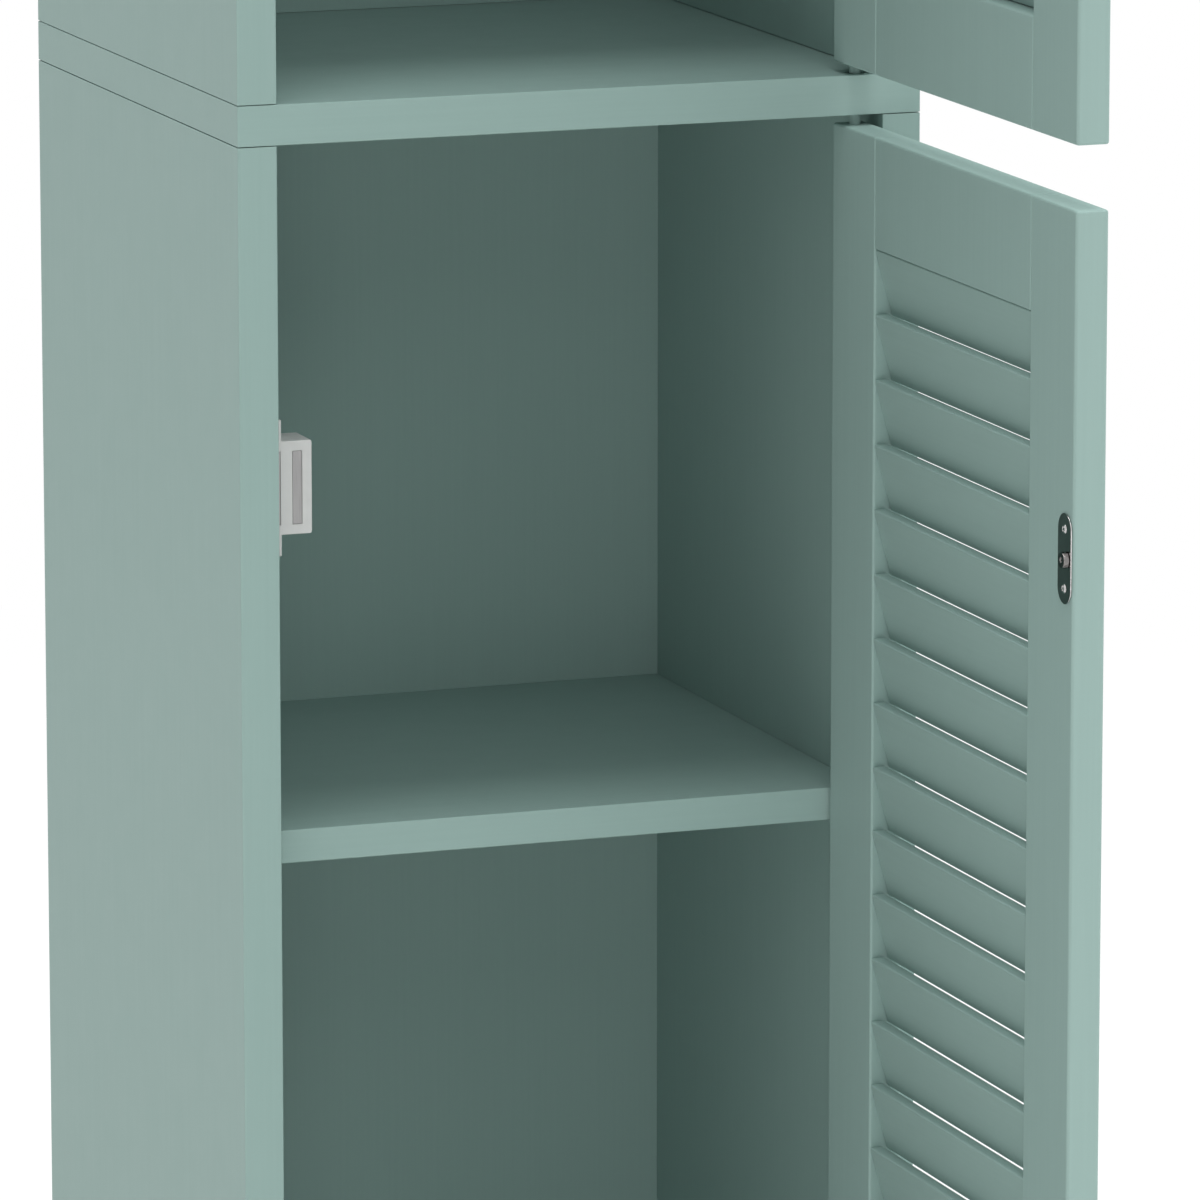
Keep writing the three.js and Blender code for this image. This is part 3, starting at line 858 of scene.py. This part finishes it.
class CABINET_OT_pins(Operator):
    """Painted door pins and the bushes that they turn in"""

    bl_idname = "cabinet.pins"
    bl_label = "Pins and Bushes"

    def execute(self, context):
        sizes = context.scene.cabinet_pins
        painted, moulding = finish(context, "paint_upright"), finish(context, "bush_moulded")
        for bay in BAYS:
            for end in ("bottom", "top"):
                body = f"{bay}_door"
                node = f"{body}_{end}_pin"
                centre, radius, foot, top = round_of(node)
                corners = [(0, foot), (radius, foot), (radius, top), (0, top)]
                faces = closed(*turned(corners, sizes.pin_round, "Z", centre))
                add_piece(f"{node}_painted", faces, body, "painted_pin", painted, node)
                self.bush(sizes, f"{body}_{end}_bush", end == "bottom", moulding)
        return {"FINISHED"}

    def bush(self, sizes, node, opens_upwards, material):
        """A cup that opens towards its pin, in a dark green that is painted shade round the pin's
        foot.
        """
        centre, radius, foot, top = round_of(node)
        bore = radius - sizes.bush_wall
        shut, mouth, step = (foot, top, 1) if opens_upwards else (top, foot, -1)
        floor = shut + step * sizes.bush_floor
        corners = [
            (0, shut), (radius, shut), (radius, mouth), (bore, mouth), (bore, floor), (0, floor),
        ]
        faces = closed(*turned(corners[::step], sizes.bush_round, "Z", centre))
        add_piece(f"{node}_turned", faces, "carcass", "bush_plastic", material, node)


class CABINET_OT_catches(Operator):
    """Magnetic catches: housing, pole plates, magnet and fixing screws"""

    bl_idname = "cabinet.catches"
    bl_label = "Catches"

    def execute(self, context):
        sizes = context.scene.cabinet_catches
        plastic, steel = finish(context, "housing_moulded"), finish(context, "pole_ground")
        bright, dark = finish(context, "screw_steel"), finish(context, "magnet_grey")
        for bay in BAYS:
            self.housing(sizes, bay, plastic)
            for side in POLES:
                node, low, high = self.pole(sizes, bay, side)
                faces = rounded_box(low, high, "Z", sizes.pole_round, sizes.pole_round)
                add_piece(f"{node}_ground", faces, "carcass", "pole_steel", steel, node)
            low, high = corners_of(f"{bay}_catch_housing")
            base = low[0] + sizes.base_reach
            add_screws(sizes, (low + high) / 2, base, "X", f"{bay}_catch", "carcass", bright)
            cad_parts[f"{bay}_catch_magnet"].material_slots[0].material = dark
        return {"FINISHED"}

    def pole(self, sizes, bay, side):
        """A pole plate's CAD node and the corners of its stand-in, which is a little thinner."""
        node = f"{bay}_catch_pole_{side}_side"
        low, high = corners_of(node)
        trim = np.array([sizes.pole_trim, 0, sizes.slot_play])
        return node, low + trim, high - trim

    def housing(self, sizes, bay, material):
        """A block on a taller base, with two slots for the pole plates in its front."""
        node = f"{bay}_catch_housing"
        low, high = corners_of(node)
        middle, half = (low + high)[2] / 2, sizes.block_height / 2
        base, top, bottom = low[0] + sizes.base_reach, middle + half, middle - half
        corners = [
            (low[2], low[0]), (high[2], low[0]), (high[2], base), (top, base),
            (top, high[0]), (bottom, high[0]), (bottom, base), (low[2], base),
        ]
        edge, hollow, block = sizes.base_round, sizes.hollow_round, sizes.corner_round
        section = outline(corners, [edge, edge, edge, hollow, block, block, hollow, edge])
        points, normals = carried(section, "Y", low[1], high[1], sizes.edge_round)
        slots, play = [], sizes.slot_play
        for side in POLES:
            _, pole_low, pole_high = self.pole(sizes, bay, side)
            slot = rectangle(pole_low[[2, 0]] - play, pole_high[[2, 0]] + play)
            slots.append(outline(slot, play))
        faces = closed(points, normals, low_end=False)
        faces += holed(points[0][:, [2, 0]], [slot[0] for slot in slots], low[1], "Y", -1)
        for slot in slots:
            faces += sunk(slot, low[1], low[1] + sizes.slot_depth, "Y")
        add_piece(f"{bay}_catch_moulding", faces, "carcass", "catch_plastic", material, node)


class CABINET_OT_strikes(Operator):
    """Strike plates on the doors, each with a stud and two screws"""

    bl_idname = "cabinet.strikes"
    bl_label = "Strikes"

    def execute(self, context):
        sizes = context.scene.cabinet_strikes
        mirror, bright = finish(context, "strike_polish"), finish(context, "screw_steel")
        for bay in BAYS:
            body = f"{bay}_door"
            low, high = corners_of(f"{bay}_strike_plate")
            low[0] = high[0] - sizes.plate_thickness
            self.plate(sizes, bay, low, high, mirror)
            self.stud(sizes, bay, -low[0], bright)
            add_screws(sizes, (low + high) / 2, -low[0], "-X", f"{bay}_strike", body, mirror)
        return {"FINISHED"}

    def plate(self, sizes, bay, low, high, material):
        """An oblong plate with round ends."""
        node = f"{bay}_strike_plate"
        end_round = (high - low)[1] / 2 - sizes.end_flat
        faces = rounded_box(low, high, "X", end_round, sizes.plate_round, ROUND_STEPS)
        add_piece(f"{node}_polished", faces, f"{bay}_door", "strike_steel", material, node)

    def stud(self, sizes, bay, level, material):
        """A raised round stud with a cross recess, and its shank in the stile."""
        node = f"{bay}_strike_stud"
        low, high = corners_of(node)
        middle, radius = (low + high) / 2, (high - low)[1] / 2
        shank, foot = sizes.stud_shank, -high[0]
        collar, top = level + sizes.stud_gap, level + sizes.stud_rise
        corners = [
            (0, foot), (shank, foot), (shank, collar), (radius, collar), (radius, top), (0, top),
        ]
        radii = [0, *[sizes.collar_round] * 3, sizes.stud_round, 0]
        faces = cross_headed(sizes, corners, radii, 0, "-X", middle[[2, 1]])
        add_piece(f"{node}_polished", faces, f"{bay}_door", "strike_steel", material, node)


class CABINET_OT_stage(Operator):
    """Floor, soft light and camera"""

    bl_idname = "cabinet.stage"
    bl_label = "Stage"

    def execute(self, context):
        stage = context.scene.cabinet_stage
        self.floor(stage)
        self.sky(context, stage)
        for name, where in LAMPS.items():
            self.lamp(f"{name}_lamp", getattr(stage, f"{name}_power"), *where)
        self.camera(context, stage)
        context.scene.view_settings.view_transform = "Standard"
        return {"FINISHED"}

    def lit_or_seen(self, tree):
        """One where the camera or a mirror looks, and zero where light is gathered."""
        path = tree.nodes.new("ShaderNodeLightPath").outputs
        total = path["Is Camera Ray"]
        for name in ("Is Glossy Ray", "Is Transmission Ray"):
            inputs = {0: total, 1: path[name]}
            total = add_node(tree, "Math", "Value", inputs, operation="MAXIMUM")
        return total

    def show(self, tree, output, share, lit, seen):
        """Puts out a tree's lit shader with a share of the seen one mixed in."""
        mixed = add_node(tree, "MixShader", "Shader", {0: share, 1: lit, 2: seen})
        feed(tree, tree.nodes[output], {"Surface": mixed})

    def floor(self, stage):
        """A square floor, which the camera sees partly white."""
        half = stage.floor_size / 2
        corners = [(x, y, 0) for x, y in rectangle((-half, -half), (half, half))]
        mesh = bpy.data.meshes.new("floor")
        mesh.from_pydata(corners, [], [(0, 1, 2, 3)])
        floor = add_object("floor", mesh)
        material, tree, shader = new_material("floor_white")
        feed(tree, shader, {"Base Color": (*stage.floor, 1), "Roughness": FLOOR_ROUGHNESS})
        inputs = {0: self.lit_or_seen(tree), 1: self.fade(tree, stage)}
        share = add_node(tree, "Math", "Value", inputs, operation="MULTIPLY")
        glow = add_node(tree, "Emission", "Emission", {})
        self.show(tree, "Material Output", share, shader.outputs["BSDF"], glow)
        mesh.materials.append(material)

    def fade(self, tree, stage):
        """The floor's share of white, which grows smoothly to one with the way from its middle."""
        place = add_node(tree, "TexCoord", "Object", {})
        way = add_node(tree, "VectorMath", "Value", {0: place}, operation="LENGTH")
        inputs = {"Value": way, "To Min": stage.floor_glow}
        inputs["From Min"], inputs["From Max"] = stage.fade_start, stage.fade_end
        return add_node(tree, "MapRange", "Result", inputs, interpolation_type="SMOOTHSTEP")

    def sky(self, context, stage):
        """An even sky that gives the light, and looks white to the camera."""
        world = bpy.data.worlds.new("studio")
        world.use_nodes = True
        context.scene.world = world
        tree = world.node_tree
        light = tree.nodes["Background"]
        feed(tree, light, {"Color": WHITE, "Strength": stage.sky})
        white = add_node(tree, "Background", "Background", {"Color": WHITE})
        seen = self.lit_or_seen(tree)
        self.show(tree, "World Output", seen, light.outputs["Background"], white)

    def lamp(self, name, watts, turn, height, distance, size):
        """A soft square lamp that looks at the cabinet's middle and isn't seen itself."""
        lamp = bpy.data.lights.new(name, "AREA")
        lamp.energy, lamp.size = watts, size
        holder = add_object(name, lamp)
        turn, height = math.radians(turn), math.radians(height)
        level = math.cos(height)
        away = np.array([math.sin(turn) * level, -math.cos(turn) * level, math.sin(height)])
        holder.location = LAMPS_LOOK_AT + distance * away
        holder.rotation_euler = (math.pi / 2 - height, 0, turn)
        holder.visible_camera = False

    def camera(self, context, stage):
        """The camera, turned and dipped towards the middle of the cabinet."""
        camera = add_object("camera", bpy.data.cameras.new("camera"))
        camera.data.lens = stage.lens
        camera.data.sensor_width = FILM_WIDTH
        camera.data.clip_start, camera.data.clip_end = SIGHT
        camera.location = stage.camera_place
        camera.rotation_euler = (math.pi / 2 - stage.camera_dip, 0, -stage.camera_turn)
        context.scene.camera = camera


GROUPS = {
    "cabinet_carcass": CarcassSizes,
    "cabinet_doors": DoorSizes,
    "cabinet_louvres": LouvreSizes,
    "cabinet_pins": PinSizes,
    "cabinet_catches": CatchSizes,
    "cabinet_strikes": StrikeSizes,
    "cabinet_finishes": Finishes,
    "cabinet_stage": StageSettings,
}
OPERATORS = (
    CABINET_OT_carcass,
    CABINET_OT_door_frames,
    CABINET_OT_louvres,
    CABINET_OT_pins,
    CABINET_OT_catches,
    CABINET_OT_strikes,
    CABINET_OT_stage,
)


class CABINET_PT_build(Panel):
    """Sizes, finishes and steps of the cabinet"""

    bl_idname = "CABINET_PT_build"
    bl_label = "Louvred Door Cabinet"
    bl_space_type = "VIEW_3D"
    bl_region_type = "UI"
    bl_category = "Cabinet"

    def draw(self, context):
        for operator in OPERATORS:
            self.layout.operator(operator.bl_idname)
        for name, group in GROUPS.items():
            box = self.layout.box()
            box.label(text=group.__name__)
            for field in group.__annotations__:
                box.prop(getattr(context.scene, name), field)


CLASSES = (*GROUPS.values(), *OPERATORS, CABINET_PT_build)


def register():
    for cls in CLASSES:
        bpy.utils.register_class(cls)
    for name, group in GROUPS.items():
        setattr(bpy.types.Scene, name, PointerProperty(type=group))


def unregister():
    for name in GROUPS:
        delattr(bpy.types.Scene, name)
    for cls in reversed(CLASSES):
        bpy.utils.unregister_class(cls)


def main():
    register()
    bpy.ops.cabinet.carcass()
    bpy.ops.cabinet.door_frames()
    bpy.ops.cabinet.louvres()
    bpy.ops.cabinet.pins()
    bpy.ops.cabinet.catches()
    bpy.ops.cabinet.strikes()
    bpy.ops.cabinet.stage()


if __name__ == "__main__":
    main()
